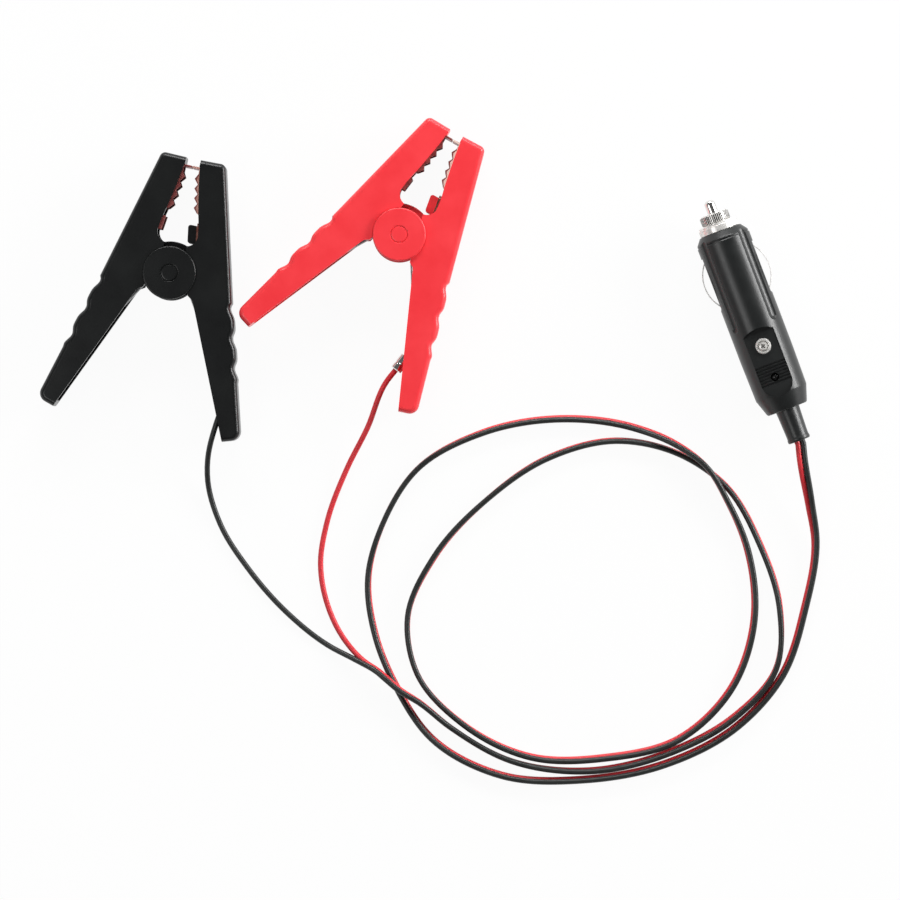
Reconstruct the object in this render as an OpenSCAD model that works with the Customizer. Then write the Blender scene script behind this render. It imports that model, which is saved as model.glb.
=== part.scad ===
// Car battery lead: a 12 V socket plug, a two-core lead in loose loops and two sprung battery clamps.
// Everything lies on z = 0, in millimetres. A clamp's own frame has its pivot at the origin, its jaws
// along +Y and its mid plane at z = 0. The plug's own frame has its tip at the origin, its axis along +Z
// and its panel side along +X.

/* [Layout] */
// Where the black clamp's pivot stands
black_x = -96.2; // [-98:0.1:-94]
black_y = 3.12; // [0:0.1:4]
// How far the black clamp is turned clockwise
black_turn = 12; // [10:0.1:13]
// Where the red clamp's pivot stands
red_x = -9.9; // [-10:0.1:-7]
red_y = 17.52; // [15:0.1:19]
// How far the red clamp is turned clockwise
red_turn = 29.5; // [28:0.1:31]
// Where the plug's tip lies
plug_x = 106.56; // [106:0.1:109]
plug_y = 30.6; // [28:0.1:31]
// How far the plug's axis is turned clockwise from +X
plug_turn = 69.2; // [68:0.1:70]
// How far the plug is rolled over towards the clamps
plug_roll = 4; // [3:0.1:6]

/* [Clamp] */
// Thickness of a lever over both cheeks
lever_t = 18; // [17:0.5:20]
// Thickness of a cheek, and of the outer wall
wall = 2; // [1.6:0.1:2.2]
// Radius that rounds a lever's outer edges
edge_round = 1.6; // [1:0.1:1.8]
// Radius of the pivot discs
disc_r = 10; // [10:0.1:10.6]
// How far a disc stands proud of the levers
disc_t = 1.2; // [1:0.1:1.5]
// Radius of the pivot shaft
shaft_r = 3.1; // [3:0.1:3.5]
// Depth of the finger scallops
scallop = 1.25; // [0.8:0.05:1.5]
// Thickness of the copper sheet
sheet_t = 0.9; // [0.7:0.1:1]

/* [Clamp spring] */
// Wire thickness
wire_d = 1.8; // [1.5:0.1:1.8]
// Mean radius of the coil
coil_r = 4.6; // [4.6:0.05:4.8]
// Whole turns between the legs
coil_turns = 4; // [3:1:4]
// Length of a leg
leg_l = 28; // [24:1:30]

/* [Plug] */
// Radius of the barrel
barrel_r = 10.35; // [10.2:0.05:10.45]
// How far the tip is from the barrel's full width
nose_l = 15.2; // [15:0.1:15.6]
// Where the barrel's rear chamfer starts
barrel_end = 77.5; // [77:0.1:78]
// Where the strain relief ends
plug_l = 96.8; // [95:0.1:98]
// Radius of the fuse chamber
chamber_r = 3.55; // [3.5:0.05:3.6]
// Radius of the centre contact
tip_r = 2.1; // [1.9:0.05:2.2]
// How far the side contacts bow out
bow_h = 2.7; // [2.4:0.05:3]

/* [Fuse spring] */
// Wire thickness
fuse_wire_d = 0.7; // [0.6:0.1:0.7]
// Turns
fuse_turns = 6; // [5:1:6]

/* [Lead] */
// Thickness of one core with its insulation
core_d = 2.1; // [2:0.05:2.15]

/* [Hidden] */
$fn = 64;
plastic_red = "#f84046";
plastic_black = "#1e201f";
copper = "#b5705f";
nickel = "#c8c6c0";
steel = "#b4b4b4";

half_t = lever_t / 2;
inner_half = half_t - wall;              // half the gap between a lever's cheeks
clamp_z = half_t + 0.1 + disc_t;         // height of a clamp's mid plane
ear_r = 9.8;                             // the ears that carry the shaft
ear_clear_r = 10.15;                     // the other lever's recess round them
black_at = [black_x, black_y, clamp_z];
red_at = [red_x, red_y, clamp_z];
core_r = core_d / 2;

// ---------- general shapes ----------

// Points on an arc round c, from angle a0 to a1.
function arc(c, r, a0, a1, n) =
    [for (i = [0:n]) let (a = a0 + (a1 - a0) * i / n) c + r * [cos(a), sin(a)]];
function unit(v) = v / norm(v);
function left_of(v) = [-v.y, v.x];

// The left-hand normal of an open chain at point i, long enough to keep offset lines parallel.
function chain_normal(c, i) =
    let (last = len(c) - 1,
         before = left_of(unit(c[max(i, 1)] - c[max(i, 1) - 1])),
         after = left_of(unit(c[min(i, last - 1) + 1] - c[min(i, last - 1)])),
         middle = unit(before + after))
    middle / (middle * before);
function inset(c, d) = [for (i = [0:len(c) - 1]) c[i] - d * chain_normal(c, i)];

// A strip of width w along a chain.
function strip(c, w) = concat(inset(c, w / 2), [for (i = [len(c) - 1:-1:0]) inset(c, -w / 2)[i]]);

// Triangles that join rings of n points each, and a tube closed by its end rings.
function side_faces(rings, n) = [for (k = [0:rings - 2], j = [0:n - 1], upper = [0, 1])
    let (a = k * n + j, b = k * n + (j + 1) % n) upper ? [b + n, a + n, b] : [b, a + n, a]];
function tube_faces(rings, n) = concat(
    [[for (j = [n - 1:-1:0]) j]], side_faces(rings, n), [[for (j = [0:n - 1]) (rings - 1) * n + j]]);

// Triangles that fill a clockwise outline, cut off one corner at a time.
function turn_of(a, b, c) = (b.x - a.x) * (c.y - a.y) - (b.y - a.y) * (c.x - a.x);
function holds(a, b, c, q) = turn_of(a, b, q) <= 0 && turn_of(b, c, q) <= 0 && turn_of(c, a, q) <= 0;
function corner_at(left, k) = let (n = len(left)) [left[(k + n - 1) % n], left[k], left[(k + 1) % n]];
function is_ear(p, left, k) =
    let (c = corner_at(left, k), inside = [for (j = left) if (j != c[0] && j != c[1] && j != c[2])
        if (holds(p[c[0]], p[c[1]], p[c[2]], p[j])) j])
    turn_of(p[c[0]], p[c[1]], p[c[2]]) < -0.0001 && len(inside) == 0;
function first_ear(p, left, k = 0) = is_ear(p, left, k) ? k : first_ear(p, left, k + 1);
function fill_faces(p, left) = len(left) == 3 ? [left] :
    let (k = first_ear(p, left))
    concat([corner_at(left, k)], fill_faces(p, [for (j = [0:len(left) - 1]) if (j != k) left[j]]));

// A flat prism with its outer chain's edges rounded, above and below; the inner chain stays sharp.
module rounded_prism(outer, inner, half, r, steps = 2) {
    levels = concat(
        [for (k = [steps:-1:0]) [-1, k]],
        [for (k = [0:steps]) [1, k]]);
    n = len(outer) + len(inner);
    points = [for (level = levels)
        let (a = 90 * level[1] / steps,
             z = level[0] * (half - r + r * sin(a)),
             ring = concat(inset(outer, r * (1 - cos(a))), inner))
        for (p = ring) [p.x, p.y, z]];
    cap = fill_faces(points, [for (j = [0:n - 1]) j]);
    last = n * (len(levels) - 1);
    polyhedron(points, concat([for (f = cap) [f[2], f[1], f[0]]], side_faces(len(levels), n),
        [for (f = cap) f + last * [1, 1, 1]]), convexity = 6);
}

// The least distance between one stretch of a line of points and all that follows skip points later.
function self_gap(p, skip) =
    min([for (i = [0:len(p) - 1 - skip], j = [i + skip:len(p) - 1]) norm(p[i] - p[j])]);

// Rings of sides points round a line of points, as a closed tube.
function line_dir(p, i) = unit(p[min(i + 1, len(p) - 1)] - p[max(i - 1, 0)]);
module round_tube(p, r, sides, up = [0, 0, 1]) {
    points = [for (i = [0:len(p) - 1])
        let (t = line_dir(p, i), side = unit(cross(up, t)), rise = cross(t, side))
        for (j = [0:sides - 1]) let (a = -360 * j / sides) p[i] + r * (cos(a) * side + sin(a) * rise)];
    polyhedron(points, tube_faces(len(p), sides), convexity = 8);
}

// ---------- clamp ----------

module at_clamp(at, turn) {
    translate(at) rotate([0, 0, -turn]) children();
}

grip_start = [25.3, -6.3];
grip_end = [33.45, -35.4];
grip_pitch = 10.9;
grip_slope = (grip_end.x - grip_start.x) / (grip_start.y - grip_end.y);
// The grip's scallops, as a wave on the straight line between its ends.
function grip_wave(y) = 0.35 - scallop * pow(cos(180 * (y + 8.4) / grip_pitch), 4);
grip = [for (i = [1:15]) let (y = grip_start.y - 0.4 - i * 1.75)
    [grip_start.x + grip_slope * (grip_start.y - y) + grip_wave(y), y]];
// The right-hand lever's outline: round the outside from the jaw's tip to the handle's end, then back.
outer_edge = concat(
    [[2.8, 43.9]], arc([10.5, 41.9], 2.2, 88, 14.4, 4),
    [grip_start], grip, [grip_end], arc([34.7, -53.5], 3.6, 15.6, -75.6, 5), [[32.4, -58]]);
inner_edge = concat(
    arc([9.07, -9.73], 2, 24, 67, 3), [[8.6, -7.1]],
    arc([3.4, 15.3], 4.3, -82, 0, 6), [[7.2, 19], [5.8, 25], [3.9, 35], [3, 41.3], [2.8, 41.3]]);
// The space between the cheeks, open towards the other lever.
channel = [[-3, 41.3], [11.2, 41.3], [23.4, -6.8], [31.5, -35], [35.5, -51.5], [33.6, -55], [24, -57.6],
    [-3, -30]];
spring_seat = [[17.3, -17.4], [20.6, -22.6], [29, -22.6], [27.6, -17.4]];
web = [[9.5, 13.2], [9.5, 19.2], [17.1, 19.2], [18.6, 13.2]];
nose = concat(arc([4.8, 13.6], 1, 270, 180, 2), arc([4, 18.5], 1, 180, 90, 2), [[9.6, 19.5], [9.6, 12.6]]);

nose_top = 2;
guard_top = 1;

module lever_blank() {
    difference() {
        union() {
            rounded_prism(outer_edge, inner_edge, half_t, edge_round);
            cylinder(r = ear_r, h = lever_t, center = true);
        }
        translate([0, 0, -inner_half]) linear_extrude(2 * inner_half) polygon(channel);
        cylinder(r = ear_clear_r, h = 2 * inner_half, center = true);
    }
    for (s = [-1, 1])
        translate([0, 0, s * (inner_half + 3.5) / 2 - (inner_half - 3.5) / 2 - 0.05])
            linear_extrude(inner_half - 3.5 + 0.1) polygon(spring_seat);
}

// The half that the lead goes into, with outer ears, the jaw's seat and the guard over the spring.
module wire_lever(hue) {
    color(hue) {
        difference() {
            lever_blank();
            cylinder(r = ear_clear_r, h = 2 * half_t - wall, center = true);
            cylinder(r = shaft_r, h = lever_t + 1, center = true);
        }
        difference() {
            union() {
                translate([0, 0, -inner_half - 0.05]) linear_extrude(2 * inner_half + 0.1) polygon(web);
                translate([0, 0, -inner_half + 1]) linear_extrude(inner_half - 1 + nose_top) polygon(nose);
            }
            translate([14, 10, -3]) cube([3.2, 12, 6]);
        }
        guard(50, 64, inner_half - 0.2);
        guard(50, 16, inner_half + 0.05);
    }
}

module guard(start, sweep, depth) {
    rotate([0, 0, start]) rotate_extrude(angle = sweep) translate([10.3, -depth])
        square([1.8, depth + guard_top]);
}

// The half that moves, with inner ears.
module free_lever(hue) {
    color(hue) mirror([1, 0, 0]) difference() {
        lever_blank();
        for (s = [-1, 1])
            translate([0, 0, s * half_t]) cylinder(r = ear_clear_r, h = wall + 0.1, center = true);
        cylinder(r = shaft_r + 0.06, h = lever_t + 1, center = true);
    }
}

tooth_pitch = 3.6;
teeth = 4;
// The jaw's toothed edge, front to back: a tip and a valley for each tooth.
toothed_edge = [for (i = [0:teeth - 1], k = [0, 1])
    let (y = 36.6 - i * tooth_pitch - k * 1.9, x = 1.9 + (36.6 - y) * 0.176) [x + k * 1.25, y]];
jaw_front = 41.2;
jaw_side = concat(
    [[2.9, jaw_front - 0.4], [2.9, 38.5]], toothed_edge,
    [[6.4, 23.6], [8.2, 22.4], [8.2, 20.8], [5.7, 20.8], [6.4, 15.5], [9.4, 15.5], [9.4, 21.8],
     [15.8, 21.8], [11, jaw_front - 0.4]]);

// A toothed channel of copper sheet: two toothed sides, a back and a closed front.
module jaw(tongue) {
    color(copper) {
        for (s = [-1, 1])
            translate([0, 0, s > 0 ? inner_half - sheet_t : -inner_half]) linear_extrude(sheet_t)
                polygon(jaw_side);
        translate([0.15, jaw_front - 0.8, -inner_half]) cube([10.8, 0.8, 2 * inner_half]);
        translate([0, 0, -inner_half + 0.2]) linear_extrude(2 * inner_half - 0.4)
            polygon(strip([[10.7, jaw_front - 0.4], [15.1, 23.2]], sheet_t));
        if (tongue)
            translate([0, 0, -2.4]) linear_extrude(4.8) polygon(strip([[14.9, 24.2], [15.6, 21.2]], sheet_t));
    }
}

// Where each clamp's crimp is, and which way the wire runs into it.
black_crimp = [29.8, -43];
black_wire_dir = [0.13, 0.9915];
red_crimp = [24.3, -41.7];
red_wire_dir = [0.16, 0.9871];
crimp_l = 6.4;

// A plated strip from the jaw down the handle, rolled round the wire at its end.
module terminal(crimp, dir) {
    color(nickel) {
        front = crimp + dir * crimp_l / 2;
        translate([0, 0, -2.5]) linear_extrude(5)
            polygon(strip([[14.3, 23.6], [15.3, 14], [18.1, -6], front + [0.6, 0.5], front - 1.5 * dir],
                0.8));
        translate([crimp.x, crimp.y, 0]) rotate([0, 0, atan2(dir.y, dir.x)]) rotate([0, 90, 0])
            cylinder(r = 2.2, h = crimp_l, center = true);
    }
}

// The under disc and the shaft are one moulding, and the top disc is pressed on the shaft's end.
module disc_profile(inner_r) {
    polygon(concat([[inner_r, 0], [disc_r, 0]], arc([disc_r - 0.5, disc_t - 0.5], 0.5, 0, 90, 4),
        [[inner_r, disc_t]]));
}
module pivot_post(hue) {
    color(hue) {
        mirror([0, 0, 1]) translate([0, 0, half_t + 0.1]) rotate_extrude() disc_profile(0);
        translate([0, 0, -half_t - 0.1]) cylinder(r = shaft_r, h = 2 * half_t + 0.1 + disc_t);
    }
}
module pivot_cap(hue) {
    color(hue) translate([0, 0, half_t + 0.1]) difference() {
        rotate_extrude() disc_profile(0);
        translate([0, 0, -1]) cylinder(r = shaft_r, h = disc_t + 2);
        translate([0, 0, disc_t - 0.25]) cylinder(r = shaft_r + 0.25, h = 1);
    }
}

leg_angle = 238.5;                       // which way the free lever's leg runs
coil_start = leg_angle - 90;             // where that leg meets the coil
coil_sweep = 2 * coil_start - 180 + 360 * coil_turns;
coil_pitch = wire_d + 0.48;
coil_steps = 35;
coil_line = [for (i = [0:coil_steps]) let (a = coil_start - coil_sweep * i / coil_steps)
    [coil_r * cos(a), coil_r * sin(a), coil_pitch * coil_sweep / 360 * (0.5 - i / coil_steps)]];
top_leg = [for (d = [leg_l, leg_l / 2, 2.5]) coil_line[0] + d * [cos(leg_angle), sin(leg_angle), 0]];
low_leg = [for (d = [2.5, leg_l / 2, leg_l])
    coil_line[coil_steps] + d * [-cos(leg_angle), sin(leg_angle), 0]];
spring_line = concat(top_leg, coil_line, low_leg);
module clamp_spring() {
    color(steel) round_tube(spring_line, wire_d / 2, 6);
}
echo(clamp_spring_gap = self_gap(coil_line, 6) - wire_d);

// ---------- plug ----------

plug_at = [plug_x, plug_y, barrel_r];
plug_dir = [cos(plug_turn), -sin(plug_turn), 0];
module at_plug() {
    translate(plug_at) rotate([0, 0, -plug_turn]) rotate([0, 90, 0]) rotate([0, 0, 180 + plug_roll])
        children();
}

shell_profile = [[0, 9.6], [5.9, 9.6], [5.9, 12.4], [8.15, 12.4], [barrel_r - 0.25, nose_l],
    [barrel_r, nose_l + 1], [barrel_r, 62], [barrel_r - 0.25, barrel_end], [8.0, 83.4], [7.6, 84], [0, 84]];
cavity_r = 6.4;
panel_x = 8.2;
panel_half = 6;
groove_r = 2.2;
flat_y = 9.9;
bow_mid = 30.35;
screw_t = 58.6;
lamp_t = 71;
slot_half = 2.2;

// The barrel, with a pocket for each side contact's feet, a slot for its bow and a flat round the slot.
module barrel_solid() {
    difference() {
        rotate_extrude() polygon(shell_profile);
        translate([0, 0, 9]) cylinder(r = chamber_r, h = 44);
        translate([0, 0, 52]) cylinder(r = cavity_r, h = 27.5);
        translate([0, 0, 79]) cylinder(r = 3.7, h = 6);
        for (s = [0, 1]) mirror([0, s, 0]) {
            translate([-slot_half, 6, 17]) cube([2 * slot_half, 3.1, 40]);
            translate([-slot_half, 6, bow_mid - 9.95]) cube([2 * slot_half, 5, 19.9]);
            translate([-6, 0, 0]) rotate([90, 0, 90]) linear_extrude(12)
                polygon([[flat_y, 20], [flat_y, 40], [11, 42], [11, 20]]);
        }
    }
}

// A long groove with a round end, beside the barrel's middle face.
module groove(s) {
    rotate([0, 0, 45 * s]) translate([barrel_r + 1, 0, 0]) {
        translate([0, 0, nose_l - 4]) cylinder(r = groove_r, h = 53 - nose_l);
        translate([0, 0, 49]) sphere(r = groove_r);
    }
}

// The flat panel: a deep crescent in front of it, a straight front edge and a round rear end.
module panel_cut() {
    translate([panel_x, -panel_half, 53.3]) cube([4, 2 * panel_half, 19.7]);
    translate([panel_x, 0, 73]) rotate([0, 90, 0]) scale([5.6, panel_half, 1]) cylinder(r = 1, h = 4);
    intersection() {
        translate([panel_x - 1.3, 0, 63.04]) rotate([0, 90, 0]) cylinder(r = 11.44, h = 5, $fn = 160);
        translate([0, -panel_half, 50]) cube([12, 2 * panel_half, 3.4]);
    }
}

module upper_shell() {
    color(plastic_black) {
        difference() {
            intersection() {
                barrel_solid();
                translate([0, -12, 0]) cube([12, 24, 90]);
            }
            groove(-1);
            groove(1);
            panel_cut();
            translate([0, 0, screw_t]) rotate([0, 90, 0]) cylinder(r = 1.5, h = 12);
            translate([0, 0, lamp_t]) rotate([0, 90, 0]) cylinder(r = 1.55, h = 12);
            for (i = [0:6])
                translate([panel_x - 0.8, -panel_half, 65.8 + i * 1.17]) cube([1, 2 * panel_half, 0.55]);
        }
    }
}

module lower_shell() {
    color(plastic_black) difference() {
        union() {
            intersection() {
                barrel_solid();
                translate([-12, -12, 0]) cube([12, 24, 90]);
            }
            translate([-8, 0, screw_t]) rotate([0, 90, 0]) cylinder(r = 2.8, h = 8);
        }
        translate([-5, 0, screw_t]) rotate([0, 90, 0]) cylinder(r = 1.3, h = 12);
    }
}

module panel_screw() {
    color(nickel) translate([0, 0, screw_t]) rotate([0, 90, 0]) difference() {
        union() {
            translate([0, 0, -4.6]) cylinder(r = 1.3, h = panel_x + 5);
            translate([0, 0, panel_x]) rotate_extrude()
                polygon(concat([[0, 0], [2.95, 0]], arc([1.95, 0.5], 1, 0, 90, 5), [[0, 1.5]]));
        }
        for (a = [0, 90])
            translate([0, 0, panel_x + 1.3]) rotate([0, 0, a]) cube([2.6, 0.6, 1.4], center = true);
    }
}

module indicator_lamp() {
    color("#202020") translate([0, 0, lamp_t]) rotate([0, 90, 0]) {
        translate([0, 0, 3.4]) cylinder(r = 1.5, h = 3.2);
        translate([0, 0, 6.6]) intersection() {
            sphere(r = 1.5);
            cylinder(r = 2, h = 2);
        }
        for (s = [-1, 1]) translate([s * 0.7, 0, 0.4]) cylinder(r = 0.25, h = 3.1);
    }
}

module lamp_resistor() {
    color("tan") {
        translate([-0.9, 0, 66.2]) cylinder(r = 1.1, h = 5);
        translate([-0.9, 0, 64.5]) cylinder(r = 0.3, h = 8.5);
    }
}

cap_front = 5.2;
cap_back = 8.9;
tip_flange_t = 6.7;
fuse_front = 8.4;
fuse_l = 30;
fuse_r = 3.2;

module centre_contact() {
    color(nickel) rotate_extrude() polygon(concat(
        [[0, 0]], arc([tip_r - 0.9, 0.7], 0.7, -90, 0, 3), [[tip_r, 2], [tip_r, tip_flange_t],
        [3.1, tip_flange_t], [3.1, fuse_front], [0, fuse_front]]));
}

// A knurled cap that screws into the front ring and holds the contact in.
knurls = 48;
module screw_cap() {
    color(nickel) difference() {
        union() {
            translate([0, 0, cap_front + 0.3]) linear_extrude(cap_back - cap_front - 0.3)
                polygon([for (i = [0:2 * knurls - 1])
                    let (a = 180 * i / knurls, r = i % 2 == 0 ? 5.6 : 5.25) r * [cos(a), sin(a)]]);
            translate([0, 0, cap_front]) cylinder(r = 5.0, h = 0.4);
            translate([0, 0, cap_back - 0.1]) cylinder(r = 4.72, h = 0.7);
        }
        translate([0, 0, cap_front - 1]) cylinder(r = tip_r + 0.08, h = 5);
        translate([0, 0, tip_flange_t - 0.3]) cylinder(r = 3.6, h = 5);
    }
}

module front_ring() {
    color(nickel) difference() {
        rotate_extrude() polygon([[0, 9.1], [7.0, 9.1], [7.3, 9.4], [7.3, 9.9], [7.65, 10.1], [7.65, 12.0],
            [7.4, 12.35], [0, 12.35]]);
        translate([0, 0, 9.55]) cylinder(r = 5.9, h = 4);
        translate([0, 0, 8]) cylinder(r = 4.8, h = 2);
    }
}

module fuse_glass() {
    color([0.9, 0.95, 0.95, 0.5]) translate([0, 0, fuse_front + 6]) difference() {
        cylinder(r = 2.9, h = fuse_l - 12);
        translate([0, 0, -1]) cylinder(r = 2.3, h = fuse_l);
    }
}

module fuse_caps() {
    color(nickel) {
        for (z = [fuse_front, fuse_front + fuse_l - 6]) translate([0, 0, z]) cylinder(r = fuse_r, h = 6);
        translate([0, 0, fuse_front + 1]) cylinder(r = 0.2, h = fuse_l - 2);
    }
}

spring_back = 51;
fuse_back = fuse_front + fuse_l;
fuse_coil_r = 2.5;
fuse_coil_l = spring_back - fuse_back - fuse_wire_d;
fuse_line = [for (i = [0:8 * fuse_turns])
    [fuse_coil_r * cos(45 * i), fuse_coil_r * sin(45 * i),
     fuse_back + fuse_wire_d / 2 + fuse_coil_l * i / (8 * fuse_turns)]];
module fuse_spring() {
    color(steel) round_tube(fuse_line, fuse_wire_d / 2, 6);
}
echo(fuse_spring_gap = self_gap(fuse_line, 5) - fuse_wire_d);

module spring_terminal() {
    color("#b08d4a") {
        translate([0, 0, spring_back]) cylinder(r = chamber_r, h = 0.8);
        translate([-0.4, -1, spring_back + 0.5]) cube([0.8, 2, 3.5]);
    }
}

// A bowed leaf with a foot at each end, which the slot's lips hold in.
bow_chord = 19.3;
bow_rise = bow_h + 1.25;
bow_r = (bow_chord * bow_chord / 4 + bow_rise * bow_rise) / (2 * bow_rise);
leaf_t = 0.4;
leaf_foot = 8.9;
module side_contact(s) {
    color(nickel) translate([-1.8, 0, 0]) rotate([0, 90, 0]) mirror([0, s > 0 ? 0 : 1, 0]) linear_extrude(3.6)
        mirror([1, 0, 0]) {
            intersection() {
                translate([bow_mid, leaf_foot + bow_rise - bow_r + 0.2]) difference() {
                    circle(r = bow_r);
                    circle(r = bow_r - leaf_t);
                }
                translate([19.6, leaf_foot - 0.2]) square([21.5, 8]);
            }
            translate([18, leaf_foot - 0.2]) square([3, leaf_t]);
            translate([39.7, leaf_foot - 0.2]) square([3, leaf_t]);
        }
}

module strain_relief() {
    color(plastic_black) rotate_extrude() polygon([[0, 77], [5.6, 77], [5.6, 79], [3.7, 79],
        [3.7, 84], [4.6, 84], [4.15, plug_l - 1.7], [4.35, plug_l - 1.2], [4.35, plug_l - 0.5],
        [4.05, plug_l], [0, plug_l]]);
}

module plug_wire(path) {
    round_tube(path, 0.7, 8, [1, 0, 0]);
}
module plug_red_wire() {
    color(plastic_red) plug_wire([[0, -1.05, 77], [0, -1.05, 75], [-2.6, -2.1, 70], [-2.8, -4.2, 64],
        [-2.8, -4.4, 58.5], [-2.2, -3, 56], [-1.1, -1, 54.6], [-1.1, -1, 53]]);
}
module plug_black_wire() {
    color(plastic_black) plug_wire([[0, 1.05, 77], [0, 1.05, 75], [-2.6, 2.1, 70], [-2.8, 3.8, 62],
        [-1, 5.2, 58], [0, 7, 53.5], [0, 7.6, 44]]);
}

// ---------- lead ----------

// The two-core lead from the plug to its split: x, y, height, and how far the red core is turned under
// the black one (0 lies flat with red on the right, 90 stands red under black).
plug_exit = plug_at + plug_l * plug_dir;
exit_lean = 1;                           // how far the lead leans over as it leaves the plug
twin_route = concat(
    [[plug_exit.x, plug_exit.y, plug_exit.z, 0]],
    [[plug_exit.x, plug_exit.y, plug_exit.z, 0] + 1.4 * [plug_dir.x, plug_dir.y, 0, 0]],
    [[plug_exit.x, plug_exit.y, plug_exit.z, 0] + 5 * [plug_dir.x, plug_dir.y, 0, 0]
        + exit_lean * [plug_dir.y, -plug_dir.x, 0, 0]],
    [[145.2, -83.7, 6, 40], [147.4, -97.5, 3.2, 60], [143.4, -123.4, 2.1, 65], [134.9, -148.6, 2.1, 65],
     [117.9, -167.9, 2.1, 62], [90.3, -182.3, 2.1, 62], [59.6, -188.1, 2.1, 66],
     [28.4, -186.4, 2.2, 70], [2.3, -172.5, 2.2, 72], [-11.1, -152.9, 2.2, 72], [-19, -133.5, 2.2, 75],
     [-21.7, -111.4, 2.2, 80], [-16, -90.8, 2.2, 90], [-3.2, -70.7, 2.2, 92], [21.4, -56.9, 2.2, 105],
     [51.5, -51.6, 2.2, 112], [78.7, -54.9, 2.6, 115], [94.6, -61.3, 5.3, 108], [105.7, -69.4, 6.6, 92],
     [114.3, -83.2, 4.8, 86], [121.8, -101.3, 2.2, 76], [124.2, -128, 2.2, 72],
     [115.9, -153.2, 2.2, 68], [95.8, -172.8, 2.1, 65], [67.6, -179.9, 2.1, 66], [40, -179.6, 2.2, 72],
     [14.3, -167.3, 2.2, 84], [-3.2, -148.2, 2.2, 90], [-6.8, -126.5, 2.2, 87], [3.3, -103.8, 2.2, 80],
     [23.6, -81.8, 2.2, 90], [45.5, -66.8, 2.2, 100], [72.1, -59.9, 2.2, 102], [95.8, -64.9, 2.2, 98],
     [113.4, -76.9, 2.2, 100], [126.5, -99.1, 2.2, 104], [134, -123.4, 2.2, 102],
     [132.4, -146.6, 2.2, 85], [116.9, -164.4, 2.1, 66], [92.8, -177.6, 2.1, 66], [61.6, -184.8, 2.2, 74],
     [32.4, -181.1, 2.2, 88], [9.3, -168.3, 2.9, 90], [-2.7, -158.6, 5.6, 84], [-9.6, -154.3, 6.6, 76],
     [-15.5, -149.3, 6.2, 72]]);
red_route = [[-23.4, -143.2, 3.4], [-31.6, -133.9, 1.2], [-37, -122.5, 1.1], [-39.8, -106.4, 1.1],
    [-37.5, -91.3, 1.1], [-29.9, -70.7, 2.2], [-22, -55.1, 6]];
black_route = [[-26.4, -142.8, 4], [-37, -137.3, 1.2], [-53, -124.5, 1.1], [-67.1, -108.4, 1.1],
    [-77.6, -91.8, 1.1], [-82.4, -75.2, 3.2], [-82.3, -67.1, 6.4]];

// Slopes at the route's points, for a smooth curve through points that are unevenly spaced.
function slope(p, i) =
    i == 0 ? (p[1] - p[0]) / norm(xyz(p[1] - p[0])) :
    i == len(p) - 1 ? (p[i] - p[i - 1]) / norm(xyz(p[i] - p[i - 1])) :
    let (a = norm(xyz(p[i] - p[i - 1])), b = norm(xyz(p[i + 1] - p[i])))
    ((p[i] - p[i - 1]) * b / a + (p[i + 1] - p[i]) * a / b) / (a + b);
function xyz(p) = [p[0], p[1], p[2]];
function on_curve(p, i, t) =
    let (h = norm(xyz(p[i + 1] - p[i])))
    (2 * pow(t, 3) - 3 * t * t + 1) * p[i] + (pow(t, 3) - 2 * t * t + t) * h * slope(p, i)
    + (3 * t * t - 2 * pow(t, 3)) * p[i + 1] + (pow(t, 3) - t * t) * h * slope(p, i + 1);
// The route's points, with one more in each stretch that is over 27 mm long.
function ring_places(p) = concat(
    [for (i = [0:len(p) - 2]) each norm(xyz(p[i + 1] - p[i])) > 27 ? [p[i], on_curve(p, i, 0.5)] : [p[i]]],
    [p[len(p) - 1]]);

lead_sides = 8;
function lead_ring(p, i, wide, high) =
    let (t = line_dir([for (q = p) xyz(q)], i),
         side = unit(cross([0, 0, 1], t)), rise = cross(t, side),
         turn = len(p[i]) > 3 ? p[i][3] : 0,
         across = cos(turn) * side + sin(turn) * rise, through = cross(t, across))
    [for (j = [0:lead_sides - 1]) let (a = -45 * j - 22.5)
        xyz(p[i]) + wide * cos(a) * across + high * sin(a) * through];
module lead(p, wide, high) {
    polyhedron([for (i = [0:len(p) - 1]) each lead_ring(p, i, wide, high)],
        tube_faces(len(p), lead_sides), convexity = 10);
}

module twin_lead() {
    color(plastic_black) lead(ring_places(twin_route), core_d, core_r);
}

// Where a wire meets its crimp, in the layout's frame, d in front of the crimp's rear face.
function crimp_point(at, turn, crimp, dir, d) =
    let (p = crimp - dir * (crimp_l / 2 + d))
    [at.x + p.x * cos(turn) + p.y * sin(turn), at.y - p.x * sin(turn) + p.y * cos(turn), at.z];
split = xyz(twin_route[len(twin_route) - 1]);
split_dir = unit(split - xyz(twin_route[len(twin_route) - 2]));
split_turn = twin_route[len(twin_route) - 1][3];
split_side = unit(cross([0, 0, 1], split_dir));
split_across = cos(split_turn) * split_side + sin(split_turn) * cross(split_dir, split_side);

module tail(route, s, at, turn, crimp, dir) {
    start = split + s * core_r * split_across;
    lead(concat([start, start + 3 * split_dir], route,
        [crimp_point(at, turn, crimp, dir, 5), crimp_point(at, turn, crimp, dir, 0)]), core_r, core_r);
}
module red_tail() {
    color(plastic_red) tail(red_route, -1, red_at, red_turn, red_crimp, red_wire_dir);
}
module black_tail() {
    color(plastic_black) tail(black_route, 1, black_at, black_turn, black_crimp, black_wire_dir);
}

// ---------- nodes ----------

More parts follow.
